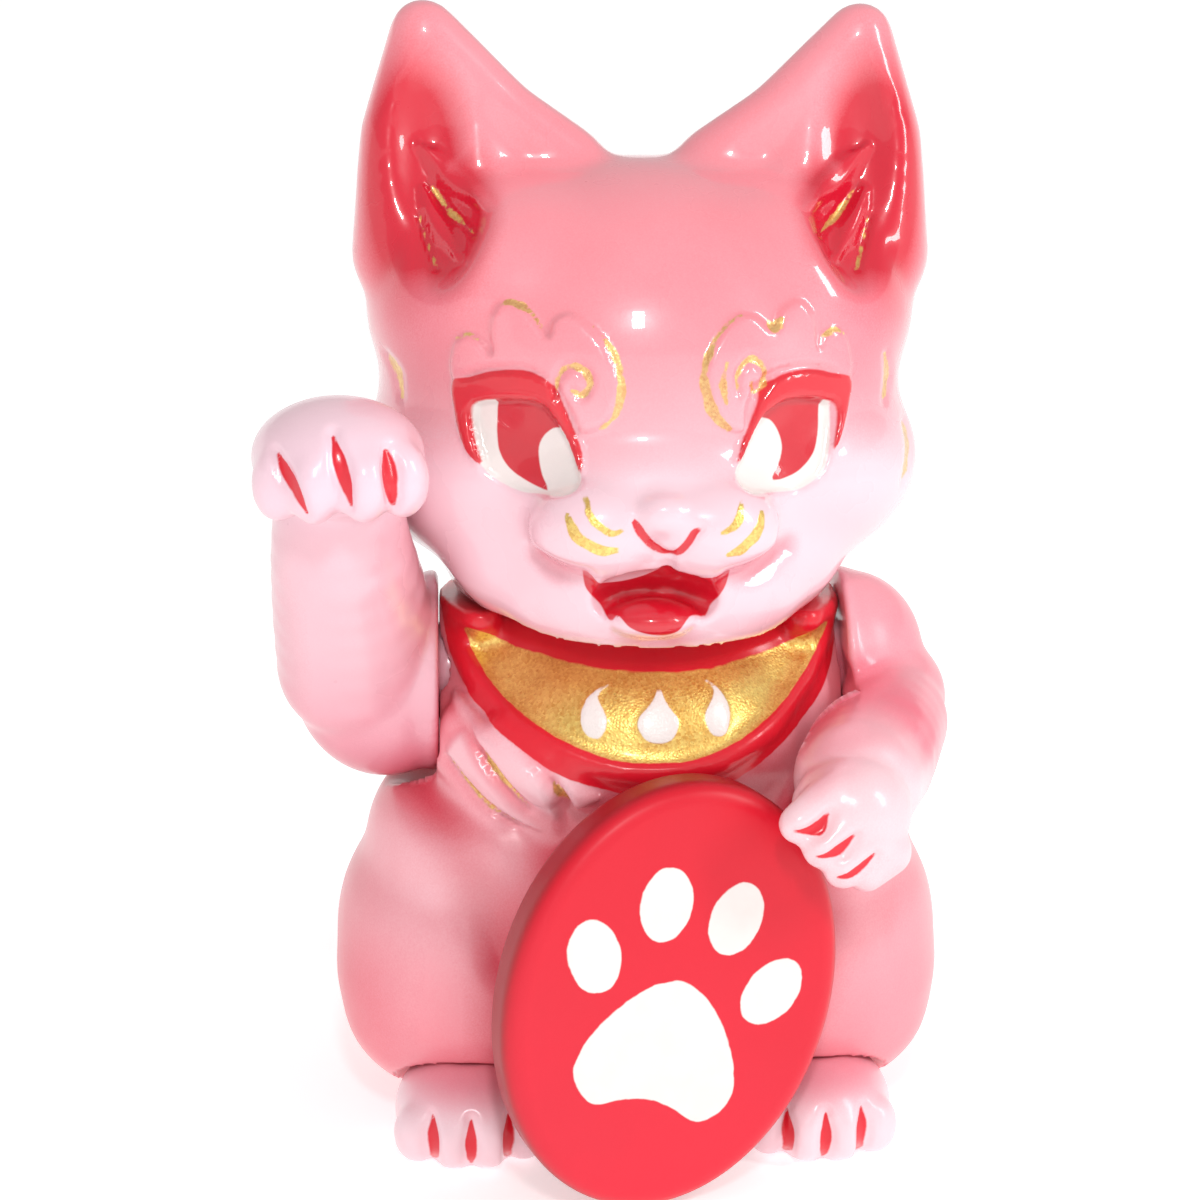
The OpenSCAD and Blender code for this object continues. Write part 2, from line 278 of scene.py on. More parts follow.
def strokes(flat, *lines):
    """Gap to the nearest of several tapered brush strokes of (u, v, width) stops."""
    return np.min([gap_to(flat, sweep(stops)) for stops in lines], axis=0)


def patch(flat, stops):
    """Gap to a filled outline: below 0 inside it."""
    line = sweep(stops, closed=True)
    gap, hit = gap_to(flat, line), np.zeros(len(flat), bool)
    for a, b in zip(line, line[1:]):
        if a[1] != b[1]:
            crosses = (a[1] > flat[:, 1]) != (b[1] > flat[:, 1])
            hit ^= crosses & (flat[:, 0] < a[0] + (flat[:, 1] - a[1]) * (b[0] - a[0]) / (b[1] - a[1]))
    return np.where(hit, -gap, gap)


def ramp(gap, start, end):
    """1 where the gap is below start, falling smoothly to 0 at end."""
    t = np.clip((end - gap) / (end - start), 0, 1)
    return t * t * (3 - 2 * t)


def push(piece, depth):
    """Moves every point outwards by its depth in millimetres, as a sculpting tool does."""
    moved = (spots(piece) + outward(piece) * np.asarray(depth)[:, None]) * mm
    piece.data.vertices.foreach_set("co", moved.ravel())
    piece.data.update()


def mark(piece, name, values):
    """Keeps one number per point for the paint to read."""
    layer = piece.data.attributes.new(name, "FLOAT", "POINT")
    layer.data.foreach_set("value", np.clip(values, -4, 9).astype(np.float32))


def puff(piece, centre, reach):
    """A puff of the airbrush: 1 at its centre and 0 past its reach, in millimetres."""
    away = np.sqrt((((spots(piece) - centre) / reach) ** 2).sum(1))
    return ramp(away, 0.15, 1.0)


flat, at, way = from_front(body, 3.0), spots(body), outward(body)
gold = patch(flat, [(-25.5, 74.5), (-23.5, 70.4), (-20.3, 67), (-14.2, 63.4), (-6.5, 60.6), (0.4, 59.9),
                    (7, 60.5), (13.3, 62.9), (19.6, 66.6), (24.2, 70.8), (26.8, 74.6), (19, 72.1), (9, 71),
                    (-0.5, 71), (-10, 71.4), (-18, 72.4)])
hem = patch(flat, [(-29.5, 82), (-28.7, 76), (-27.4, 70.4), (-24.6, 65.8), (-18.3, 61.2), (-12, 57.6),
                   (-4.6, 55.2), (1, 54.6), (10, 55.6), (18, 59.8), (25.2, 65.4), (28, 71), (29.3, 76),
                   (29.8, 82), (0, 90)])
band = np.maximum(73.4 - at[:, 2] - 1.2 * way[:, 2], np.where(np.abs(at[:, 0]) < shoulder_x - 0.6, -9, 9))
red = np.minimum(hem, np.where(at[:, 1] > -8, band, 9))
drops = np.min([patch(flat, [(x - w, z), (x - 0.2 * w, z + 2.9), (x + lean, z + 4.3), (x + 0.4 * w, z + 2.7),
                             (x + w, z), (x + 0.55 * w, z - 2.4), (x - 0.5 * w, z - 2.4)])
                for x, z, w, lean in ((-8, 65.4, 1.8, 2.6), (0.9, 65, 2.9, 0.3), (9.4, 65.6, 1.8, -1.6))],
               axis=0)
tufts = [patch(flat, [(-27.4, 64.9), (-22.4, 59.3), (-18.4, 54.3), (-15, 51), (-12.5, 50), (-12, 52.8),
                      (-13.2, 56.3), (-16.9, 60.8), (-21.8, 66.8)]),
         patch(flat, [(-13, 56.6), (-10.6, 52.8), (-8.4, 53.4), (-5.6, 55.4), (-9.1, 58), (-14.5, 61.6)]),
         patch(flat, [(-28.2, 57.6), (-22.8, 52), (-18.6, 49.6), (-14.6, 48.4), (-18.6, 52.6), (-22.6, 57.8),
                      (-25.5, 62)])]
tuft_lines = strokes(flat, [(-27.4, 57, 0.3), (-25, 54.2, 0.6), (-22.6, 51.8, 0.9), (-18.4, 49.4, 0.3)],
                     [(-22.9, 59.6, 0.6), (-21.4, 57.6, 1.5), (-18.9, 54.2, 0.8), (-16.6, 51.8, 0.2)],
                     [(-13.6, 56.8, 0.3), (-12.3, 54.9, 1.1), (-10.9, 52.8, 0.3)])
thigh = strokes(flat, [(-34, 55, 0.6), (-28.5, 48, 2), (-23.5, 40, 2.4), (-21, 30, 0.8)])
push(body, -0.55 * ramp(gold, -0.9, 0.2) - 0.35 * ramp(np.abs(gold), 0.1, 0.8)
     + 0.25 * ramp(drops, -0.3, 0.2) - 0.9 * ramp(tuft_lines, -0.3, 1.0)
     + ramp(-hem, -1.6, -0.3) * (1.5 * ramp(tufts[0], -1.6, 0.3) + 1.0 * ramp(tufts[1], -1.2, 0.2)
                                 + 0.9 * ramp(tufts[2], -1.2, 0.3)) - 0.9 * ramp(thigh, -1, 4.5))
mark(body, "red", red)
mark(body, "gold", gold)
mark(body, "drops", drops)
mark(body, "rubbed", tuft_lines)
low = ramp(at[:, 2], 6, 46)
side = np.clip(np.abs(way[:, 0]) * 0.7 + way[:, 1] * 0.45, 0, 1)
shadow = ramp(patch(flat, [(-20, 22), (-15, 42), (-5, 56), (10, 60), (22, 50), (24, 36), (16, 12), (0, 2),
                           (-14, 8)]), -2.0, 7)
# Deeper spray low down, toward the sides and back, and around the tufts; the deeper sides and the deeper pink
# round the tufts are partly painted shade. Less spray on the upper left haunch is a painted reflection, and
# the tufts are left paler as a painted highlight.
mark(body, "mist", 0.34 + 0.36 * low + 0.5 * side + 0.3 * puff(body, (-20, -26, 60), (18, 18, 16))
     - 0.22 * puff(body, (-33, -14, 42), (22, 26, 22))
     - 0.55 * np.max([ramp(t, -1.6, 0.2) for t in tufts], axis=0))
# painted shade in dark red: the plaque's painted shadow on the belly, the thigh crease, the left-facing sides
# low on the haunches, and upward faces above the base
mark(body, "painted_shade", 0.8 * shadow + 0.4 * ramp(thigh, -1, 6)
     + 0.45 * np.clip(-way[:, 0] - 0.45, 0, 1) * ramp(at[:, 2], 34, 50)
     + 0.5 * ramp(-way[:, 2], -0.75, -0.2) * (at[:, 2] > 9))
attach(body, "body")
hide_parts("body")


def paint(red, green, blue):
    """A paint's colour from its 0 to 255 card values."""
    return (*[(c / 255 / 12.92) if c < 11 else ((c / 255 + 0.055) / 1.055) ** 2.4
              for c in (red, green, blue)], 1)


def node(tree, kind, sockets=(), **settings):
    """One shader node. sockets pairs an input's name or number with a value or another node's output."""
    made = tree.nodes.new("ShaderNode" + kind)
    for key, value in settings.items():
        setattr(made, key, value)
    for key, value in dict(sockets).items():
        if isinstance(value, bpy.types.NodeSocket):
            tree.links.new(value, made.inputs[key])
        else:
            made.inputs[key].default_value = value
    return made


def group(name, inputs, outputs):
    """An empty shader node group, with the sockets to read and the sockets to fill."""
    tree = bpy.data.node_groups.new(name, "ShaderNodeTree")
    for label, kind, value in inputs:
        socket = tree.interface.new_socket(label, in_out="INPUT", socket_type="NodeSocket" + kind)
        if value is not None:
            socket.default_value = value
    for label, kind in outputs:
        tree.interface.new_socket(label, in_out="OUTPUT", socket_type="NodeSocket" + kind)
    return tree, tree.nodes.new("NodeGroupInput").outputs, tree.nodes.new("NodeGroupOutput").inputs


def math_node(tree, operation, a, b, clamp=False):
    """One sum on two sockets or numbers."""
    return node(tree, "Math", {0: a, 1: b}, operation=operation, use_clamp=clamp).outputs[0]


def grain(tree, place, scale, detail=2.0):
    """Noise from -0.5 to 0.5 with about this many lumps to the metre."""
    noise = node(tree, "TexNoise", {"Vector": place, "Scale": scale, "Detail": detail})
    return math_node(tree, "SUBTRACT", noise.outputs["Fac"], 0.5)


def mix(tree, mask, below, above):
    """One colour over another, where the mask is 1."""
    return node(tree, "Mix", {0: mask, 6: below, 7: above}, data_type="RGBA").outputs[2]


# a hand-brushed line: its edge wanders a little and its paint thins in places
brush_line, given, give = group("Brush line", [("Place", "Vector", None), ("Gap", "Float", 1.0),
                                               ("Wander", "Float", 0.25)],
                                [("Mask", "Float"), ("Height", "Float")])
wander = math_node(brush_line, "MULTIPLY", grain(brush_line, given["Place"], 420, 3), given["Wander"])
edge = math_node(brush_line, "ADD", given["Gap"], wander)
cover = node(brush_line, "MapRange", {0: edge, 1: 0.13, 2: -0.13, 3: 0.0, 4: 1.0},
             interpolation_type="SMOOTHSTEP").outputs[0]
brush_line.links.new(cover, give["Mask"])
bristles = math_node(brush_line, "ADD", math_node(brush_line, "MULTIPLY",
                                                  grain(brush_line, given["Place"], 1500, 2), 0.35), 0.8)
brush_line.links.new(math_node(brush_line, "MULTIPLY", cover, bristles), give["Height"])

# airbrushed colour: a soft cloud whose fading edge breaks into fine flecks
mist_group, given, give = group("Airbrush mist", [("Place", "Vector", None), ("Mist", "Float", 0.5),
                                                  ("Under", "Color", None),
                                                  ("Spray", "Color", None)], [("Color", "Color")])
cloud = math_node(mist_group, "MULTIPLY", grain(mist_group, given["Place"], 55, 3), 0.22)
fleck = math_node(mist_group, "MULTIPLY", grain(mist_group, given["Place"], 3800, 1), 0.16)
cover = math_node(mist_group, "ADD", math_node(mist_group, "ADD", given["Mist"], cloud), fleck, clamp=True)
faded = math_node(mist_group, "GREATER_THAN", given["Mist"], 0.001)
mist_group.links.new(mix(mist_group, math_node(mist_group, "MULTIPLY", cover, faded), given["Under"],
                         given["Spray"]), give["Color"])

# the vinyl's own skin: faint orange peel, fine grain and the duller touch of handling
skin_group, given, give = group("Vinyl skin", [("Place", "Vector", None), ("Roughness", "Float", 0.35)],
                                [("Roughness", "Float"), ("Height", "Float"), ("Tone", "Float")])
handled = grain(skin_group, given["Place"], 70, 4)
skin_group.links.new(math_node(skin_group, "ADD", given["Roughness"],
                               math_node(skin_group, "MULTIPLY", handled, 0.22), clamp=True),
                     give["Roughness"])
peel = math_node(skin_group, "MULTIPLY", grain(skin_group, given["Place"], 260, 2), 0.8)
skin_group.links.new(math_node(skin_group, "ADD", peel,
                               math_node(skin_group, "MULTIPLY", grain(skin_group, given["Place"], 2600, 2),
                                         0.12)), give["Height"])
skin_group.links.new(math_node(skin_group, "ADD", math_node(skin_group, "MULTIPLY", handled, 0.10), 1.0),
                     give["Tone"])

# gold paint: metal flakes in a clear brown binder
flake_group, given, give = group("Gold flake", [("Place", "Vector", None)],
                                 [("Color", "Color"), ("Roughness", "Float"), ("Height", "Float")])
flakes = node(flake_group, "TexVoronoi", {"Vector": given["Place"], "Scale": 2600.0})
drift = math_node(flake_group, "MULTIPLY", grain(flake_group, given["Place"], 140, 4), 0.9)
bright = math_node(flake_group, "ADD", math_node(flake_group, "MULTIPLY", flakes.outputs["Color"], 0.6),
                   math_node(flake_group, "ADD", drift, 0.25), clamp=True)
flake_group.links.new(mix(flake_group, bright, paint(206, 138, 50), paint(255, 228, 132)), give["Color"])
flake_group.links.new(math_node(flake_group, "ADD",
                                math_node(flake_group, "MULTIPLY", flakes.outputs["Distance"], 0.3), 0.24),
                      give["Roughness"])
flake_group.links.new(flakes.outputs["Distance"], give["Height"])


class Finish:
    """A cast vinyl material, from the bare vinyl up, one coat of paint after another."""

    def __init__(self, name, under, spray, roughness, coat, coat_roughness):
        self.material = bpy.data.materials.new(name)
        self.material.use_nodes = True
        self.tree = self.material.node_tree
        self.shader = self.tree.nodes["Principled BSDF"]
        self.shader.inputs["Coat Weight"].default_value = coat
        self.shader.inputs["Coat Roughness"].default_value = coat_roughness
        self.shader.inputs["Specular IOR Level"].default_value = 0.4
        self.place = node(self.tree, "TexCoord").outputs["Object"]
        skin = self.use(skin_group, {"Place": self.place, "Roughness": roughness})
        self.roughness, self.height = skin["Roughness"], skin["Height"]
        self.metal = None
        self.colour = self.use(mist_group, {"Place": self.place, "Mist": self.read("mist"), "Under": under,
                                            "Spray": spray})["Color"]
        self.colour = node(self.tree, "HueSaturation", {"Color": self.colour,
                                                        "Value": skin["Tone"]}).outputs["Color"]

    def use(self, tree, sockets):
        made = node(self.tree, "Group", node_tree=tree)
        for key, value in sockets.items():
            if isinstance(value, bpy.types.NodeSocket):
                self.tree.links.new(value, made.inputs[key])
            else:
                made.inputs[key].default_value = value
        return made.outputs

    def read(self, name):
        return node(self.tree, "Attribute", attribute_name=name).outputs["Fac"]

    def spray(self, name, colour):
        """A soft coat of the airbrush over what is there, also used to lay painted shade and sheen."""
        self.colour = self.use(mist_group, {"Place": self.place, "Mist": self.read(name),
                                            "Under": self.colour, "Spray": colour})["Color"]

    def brush(self, name, colour, wander=0.25, roughness=0.3):
        """A hand-brushed coat with a hard edge."""
        line = self.use(brush_line, {"Place": self.place, "Gap": self.read(name), "Wander": wander})
        tone = math_node(self.tree, "MULTIPLY", grain(self.tree, self.place, 300, 3), 0.1)
        laid = node(self.tree, "HueSaturation",
                    {"Color": colour, "Value": math_node(self.tree, "ADD", tone, 1.0)}).outputs["Color"]
        self.colour = mix(self.tree, line["Mask"], self.colour, laid)
        self.roughness = node(self.tree, "Mix", {0: line["Mask"], 2: self.roughness, 3: roughness}).outputs[0]
        self.height = math_node(self.tree, "ADD", self.height, line["Height"])
        return line["Mask"]

    def gild(self, name, wander=0.4, strength=1.0):
        """A coat of gold paint."""
        line = self.use(brush_line, {"Place": self.place, "Gap": self.read(name), "Wander": wander})
        mask = math_node(self.tree, "MULTIPLY", line["Mask"], strength)
        leaf = self.use(flake_group, {"Place": self.place})
        self.colour = mix(self.tree, mask, self.colour, leaf["Color"])
        self.roughness = node(self.tree, "Mix", {0: mask, 2: self.roughness, 3: leaf["Roughness"]}).outputs[0]
        self.height = math_node(self.tree, "ADD", self.height,
                                math_node(self.tree, "MULTIPLY", leaf["Height"], mask))
        metal = math_node(self.tree, "MULTIPLY", mask, 0.75)
        self.metal = metal if self.metal is None else math_node(self.tree, "MAXIMUM", self.metal, metal)
        return mask

    def finish(self, *pieces, bump=0.00004):
        links, shader = self.tree.links, self.shader
        links.new(self.colour, shader.inputs["Base Color"])
        links.new(self.roughness, shader.inputs["Roughness"])
        if self.metal is not None:
            links.new(self.metal, shader.inputs["Metallic"])
        relief = node(self.tree, "Bump", {"Strength": 1.0, "Distance": bump,
                                          "Height": self.height}).outputs["Normal"]
        links.new(relief, shader.inputs["Normal"])
        for piece in pieces:
            piece.data.materials.clear()
            piece.data.materials.append(self.material)
            piece.data.polygons.foreach_set("use_smooth", [True] * len(piece.data.polygons))
            piece.data.update()


brush_red, brush_white = paint(222, 24, 44), paint(240, 232, 228)
torso = Finish("body_paint", paint(246, 198, 206), paint(238, 98, 116), 0.32, 0.35, 0.16)
# painted shade, sprayed dark red
torso.spray("painted_shade", paint(206, 52, 72))
torso.gild("rubbed", wander=0.9, strength=0.85)
torso.brush("red", brush_red, wander=0.5)
torso.gild("gold", wander=0.5)
torso.metal = math_node(torso.tree, "MULTIPLY", torso.metal,
                        math_node(torso.tree, "SUBTRACT", 1.0,
                                  torso.brush("drops", brush_white, wander=0.5)))
torso.finish(body)

# ---------------------------------------------------------------------------------------------
# Plaque: the oval coin-shaped plaque under the left paw, a thin hollow casting in red vinyl that
# snaps into the belly. Its face is flat, its rim rounded, and a white paw print is brushed on it.
# ---------------------------------------------------------------------------------------------
bm = bmesh.new()
bmesh.ops.create_circle(bm, cap_ends=True, segments=128, radius=1)
bmesh.ops.scale(bm, vec=(plaque_w / 2 * mm, plaque_l / 2 * mm, 1), verts=bm.verts)
bmesh.ops.translate(bm, vec=(0, 0, -plaque_t / 2 * mm), verts=bm.verts)
grown = bmesh.ops.extrude_face_region(bm, geom=bm.faces[:])
bmesh.ops.translate(bm, vec=(0, 0, plaque_t * mm),
                    verts=[v for v in grown["geom"] if isinstance(v, bmesh.types.BMVert)])
bmesh.ops.recalc_face_normals(bm, faces=bm.faces)
rim = [e for e in bm.edges if abs(e.verts[0].co.z - e.verts[1].co.z) < 1e-6]
bmesh.ops.bevel(bm, geom=rim, offset=2.8 * mm, offset_type="OFFSET", segments=8, profile=0.5, affect="EDGES",
                material=-1)
drum(bm, (0, 0, -plaque_t / 2 - 5), (0, 0, 1), stem_r, 6)
plaque = wax("plaque_casting", bm)
melt(plaque, 0.5, 1)
at, way = spots(plaque), outward(plaque)
face = at[:, :2].copy()
face[at[:, 2] < 2] = 999
toes = [patch(face, [(x + 3.7 * math.cos(a) * math.cos(t) - 5.2 * math.sin(a) * math.sin(t),
                      y + 3.7 * math.cos(a) * math.sin(t) + 5.2 * math.sin(a) * math.cos(t))
                     for a in np.linspace(0, math.tau, 10, endpoint=False)])
        for x, y, t in ((-13.2, 3.6, 0.5), (-5.2, 12.4, 0.12), (5.2, 12.4, -0.12), (13.2, 3.6, -0.5))]
pad = patch(face, [(0, 2.6), (5.6, -0.2), (10.4, -6.6), (11.6, -12.4), (8, -16), (3.4, -14.8), (0, -14.2),
                   (-3.4, -14.8), (-8, -16), (-11.6, -12.4), (-10.4, -6.6), (-5.6, -0.2)])
print_gap = np.minimum(pad, np.min(toes, axis=0))
mark(plaque, "print", print_gap)
mark(plaque, "mist", 0.30 - 0.010 * at[:, 1] - 0.55 * ramp(at[:, 2], 1.6, 4.3))
# painted shade: the rim darkens where it turns away from the face
mark(plaque, "painted_shade", 0.9 * ramp(way[:, 2], 0.1, 0.8))
push(plaque, 0.08 * ramp(print_gap, -0.5, 0.3))
plaque.data.transform(plaque_frame)
coin = Finish("plaque_paint", paint(216, 8, 38), paint(228, 40, 64), 0.42, 0.12, 0.3)
# painted shade on the rim
coin.spray("painted_shade", paint(158, 6, 24))
coin.brush("print", paint(238, 230, 226), wander=0.55, roughness=0.45)
coin.finish(plaque)
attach(plaque, "body")
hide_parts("plaque")

# ---------------------------------------------------------------------------------------------
# Feet: two small castings below the ankle seams, with four toes each. Their stems turn in the
# haunches, and the grooves between the toes are pressed in the mould and lined in red.
# ---------------------------------------------------------------------------------------------
feet = []
for side, name in ((-1, "right"), (1, "left")):
    x = side * ankle[0]
    bm = bmesh.new()
    ball(bm, (x, -22, 5.6), (10.9, 12.9, 8.4))
    for toe in (-7.6, -2.7, 2.7, 7.6):
        ball(bm, (x + toe, -31.8 + 0.05 * toe * toe, 4.6), (3.4, 3.8, 4.4))
    foot = wax(name + "_foot_casting", bm)
    melt(foot, 0.6, 5)
    bm = bmesh.new()
    drum(bm, (x, ankle[1], 5), (0, 0, 1), 8.7, 8.4, radius_end=7.2)
    press_on(foot, bm)
    melt(foot, 0.5, 2)
    bm = bmesh.new()
    slab(bm, (-60, -60, ankle[2] - ankle_seam), (60, 60, 40))
    slab(bm, (-60, -60, -20), (60, 60, 0))
    carve(foot, bm)
    bm = bmesh.new()
    drum(bm, (x, ankle[1], 10), (0, 0, 1), stem_r, 6.5)
    press_on(foot, bm)
    melt(foot, 0.45, 1)
    flat, at, way = from_front(foot, -24.0), spots(foot), outward(foot)
    toe_lines = strokes(flat, *[[(x + dx, 8.4, 0.4), (x + dx, 5.6, 1.5), (x + dx * 0.98, 2.4, 1.1),
                                 (x + dx * 0.96, 0.6, 0.5)] for dx in (-5.6, 0, 5.6)])
    push(foot, -0.7 * ramp(toe_lines, -0.3, 1.1))
    mark(foot, "lines", toe_lines)
    mark(foot, "mist", 0.7 * ramp(-at[:, 2], -12.5, -7) + 0.35 * ramp(-at[:, 1], 14, 22))
    feet.append(foot)
    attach(foot, name + "_foot")
    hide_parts(name + "_foot")
foot_paint = Finish("foot_paint", paint(246, 212, 220), paint(236, 118, 138), 0.34, 0.35, 0.16)
foot_paint.brush("lines", brush_red, wander=0.35)
foot_paint.finish(*feet)

# ---------------------------------------------------------------------------------------------
# Tail: a short bobtail, a ball-shaped casting that turns on its stem in the rump.
# ---------------------------------------------------------------------------------------------
out = Vector(tail_axis)
bm = bmesh.new()
stops = [(0.35, 6.9), (3, 7.0), (7, 8.6), (10.5, 8.4)]
roll(bm, *[(*(Vector(tail_root) + out * (d + r * 0.25)), r * 0.92) for d, r in stops])
tail = wax("tail_casting", bm)
melt(tail, 0.6, 6)
bm = bmesh.new()
drum(bm, Vector(tail_root) + out * 0.35, -out, 20, 30)
carve(tail, bm)
bm = bmesh.new()
drum(bm, Vector(tail_root) + out * 2, -out, stem_r, 6)
press_on(tail, bm)
melt(tail, 0.45, 1)
at, way = spots(tail), outward(tail)
mark(tail, "mist", 0.25 + 0.5 * ramp(at @ out, 36.5, 46) + 0.2 * np.clip(way[:, 2], 0, 1))
tail_paint = Finish("tail_paint", paint(246, 204, 210), paint(240, 132, 150), 0.32, 0.35, 0.16)
tail_paint.finish(tail)
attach(tail, "tail")
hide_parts("tail")

# ---------------------------------------------------------------------------------------------
# Raised arm: a hollow casting with the forearm up and the paw bent forward, beckoning. It turns
# at the shoulder on a lipped stem, and the toe grooves are lined in red.
# ---------------------------------------------------------------------------------------------
bm = bmesh.new()
ball(bm, (-36.8, -7, 65.5), (13.3, 12.8, 14.4))
drum(bm, (-shoulder_x, *right_shoulder[1:]), (-1, 0, 0), 15, 9, radius_end=12)
roll(bm, (-40.8, -11, 69, 11.5), (-41.2, -16, 78, 11.3), (-42.2, -23.5, 88, 9.8), (-42.4, -26, 94, 9))
ball(bm, (-42, -32.3, 102.3), (11.6, 12.6, 8))
for toe in ((-49.6, -38.5, 99.8), (-44.8, -42, 100), (-38.3, -42, 100.2), (-33.4, -38.5, 100.2)):
    ball(bm, toe, (3.6, 4, 5.2))
right_arm = wax("raised_arm_casting", bm)
melt(right_arm, 0.8, 9)
bm = bmesh.new()
slab(bm, (-shoulder_x - arm_seam, -30, 30), (20, 30, 90))
carve(right_arm, bm)
bm = bmesh.new()
drum(bm, (-shoulder_x - 3, *right_shoulder[1:]), (1, 0, 0), shoulder_stem_r, 7)
press_on(right_arm, bm)
melt(right_arm, 0.5, 2)
flat, at, way = from_front(right_arm, -28.0), spots(right_arm), outward(right_arm)
toe_lines = strokes(flat, [(-49.7, 104.4, 0.4), (-48.8, 102.4, 1.3), (-47.4, 99.8, 1.5), (-45.9, 96.6, 0.5)],
                    [(-42.2, 106.9, 0.6), (-41.4, 104, 1.7), (-40.8, 101, 1.4), (-40.3, 97.6, 0.4)],
                    [(-35.2, 104.8, 0.6), (-34.7, 102.3, 1.6), (-34.4, 99.2, 1.3), (-34.5, 97, 0.4)])
push(right_arm, -0.8 * ramp(toe_lines, -0.3, 1.1))
mark(right_arm, "lines", toe_lines)
forearm = ramp(at[:, 2], 90, 98)
mark(right_arm, "mist", 0.06 + forearm * (0.2 + 0.6 * ramp(at[:, 2], 52, 76) + 0.35 * np.clip(
    way[:, 0] * 0.8 - way[:, 2] * 0.5 + way[:, 1] * 0.4, 0, 1)))
# painted shade: darker on the undersides low on the arm and down its left-facing outer side
mark(right_arm, "painted_shade", forearm * (0.75 * ramp(at[:, 2], 48, 66) * np.clip(-way[:, 2] * 1.1 - 0.15, 0, 1)
                                    + 0.6 * ramp(at[:, 2], 66, 92) * np.clip(-way[:, 0] - 0.5, 0, 1)))
# Pale pearl paint, strongest on the paw, laid only on faces turned to the front, so it also stands as a
# painted sheen.
mark(right_arm, "pearl_and_painted_sheen", 0.85 * (0.35 + 0.65 * (1 - forearm))
     * np.clip(0.35 - way[:, 1] * 0.6 - np.abs(way[:, 0]) * 0.1, 0, 1))
raised_paint = Finish("raised_arm_paint", paint(246, 206, 214), paint(234, 104, 128), 0.3, 0.5, 0.12)
# pale pearl paint with painted sheen on the front faces
raised_paint.spray("pearl_and_painted_sheen", paint(240, 208, 222))
# painted shade
raised_paint.spray("painted_shade", paint(196, 62, 82))
raised_paint.brush("lines", brush_red, wander=0.35)
raised_paint.finish(right_arm)
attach(right_arm, "right_arm")
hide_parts("right_arm")

# ---------------------------------------------------------------------------------------------
# Lowered arm: a hollow casting that reaches forward, with its paw on the edge of the plaque.
# ---------------------------------------------------------------------------------------------
bm = bmesh.new()
ball(bm, (31, -3, 67.4), (11, 12.4, 12.4))
drum(bm, (shoulder_x, *left_shoulder[1:]), (1, 0, 0), 15, 7, radius_end=11.5)
ball(bm, (36.6, -6, 62), (8.4, 12, 8.6))
roll(bm, (35.4, -14, 60, 8.8), (30.9, -27, 58.5, 9.4), (27.2, -37, 57.5, 9))
left_arm = wax("lowered_arm_casting", bm)
melt(left_arm, 0.8, 8)
bm = bmesh.new()
ball(bm, (26.2, -42, 55.6), (8.2, 8, 7.4))
for base, tip in (((23.5, -45, 58.5), (18.2, -48, 55.6)), ((25.5, -46.5, 55.5), (20.8, -49, 52)),
                  ((28, -46.5, 52.6), (24, -48.5, 49.2)), ((30.5, -45, 50.8), (27.6, -46.5, 48.2))):
    roll(bm, (*base, 3.6), (*tip, 2.7))
press_on(left_arm, bm)
melt(left_arm, 0.6, 3)
bm = bmesh.new()
slab(bm, (0, -23.5, 30), (shoulder_x + arm_seam, 30, 90))
carve(left_arm, bm)
bm = bmesh.new()
drum(bm, (0, 0, -plaque_t / 2 - 0.5), (0, 0, 1), plaque_w / 2 + 0.5, plaque_t + 1,
     oval=(plaque_l + 1) / (plaque_w + 1))
bmesh.ops.transform(bm, matrix=plaque_frame, verts=bm.verts)
carve(left_arm, bm)
bm = bmesh.new()
drum(bm, (shoulder_x + 3, *left_shoulder[1:]), (-1, 0, 0), shoulder_stem_r, 7)
press_on(left_arm, bm)
melt(left_arm, 0.5, 1)
flat, at, way = from_front(left_arm, -38.0), spots(left_arm), outward(left_arm)
finger_lines = strokes(flat, [(17.2, 55, 0.4), (19, 55.1, 1.0), (20.8, 55.7, 1.5), (22.2, 57.4, 0.5)],
                       [(20.1, 51.6, 0.4), (22, 52, 1.1), (23.7, 52.7, 1.5), (25.6, 54.4, 0.5)],
                       [(23.1, 48.6, 0.4), (24.9, 49, 1.1), (26.3, 49.7, 1.4), (28.4, 51.6, 0.5)])
cuff = strokes(from_front(left_arm, 0.0), [(20, 62.5, 0.4), (24.5, 65.6, 1.4), (29, 67, 1.8), (33.5, 66, 1.6),
                                           (37.5, 62, 0.6)])
push(left_arm, -0.8 * ramp(finger_lines, -0.3, 1.1) - 0.7 * ramp(cuff, -0.6, 2.4))
mark(left_arm, "lines", finger_lines)
hand = ramp(at[:, 1], -38, -25)
mark(left_arm, "mist", (1 - hand) * (0.42 + 0.3 * np.clip(way[:, 0], 0, 1) + 0.3 * np.clip(way[:, 1], 0, 1))
     + 0.12 + 0.45 * ramp(cuff, 0, 5))
# painted shade on the undersides low on the arm
mark(left_arm, "painted_shade", 0.45 * ramp(at[:, 2], 44, 58) * np.clip(-way[:, 2] - 0.2, 0, 1))
lowered_paint = Finish("lowered_arm_paint", paint(248, 214, 220), paint(240, 120, 138), 0.32, 0.4, 0.14)
# painted shade
lowered_paint.spray("painted_shade", paint(208, 84, 106))
lowered_paint.brush("lines", brush_red, wander=0.35)
lowered_paint.finish(left_arm)
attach(left_arm, "left_arm")
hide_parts("left_arm")

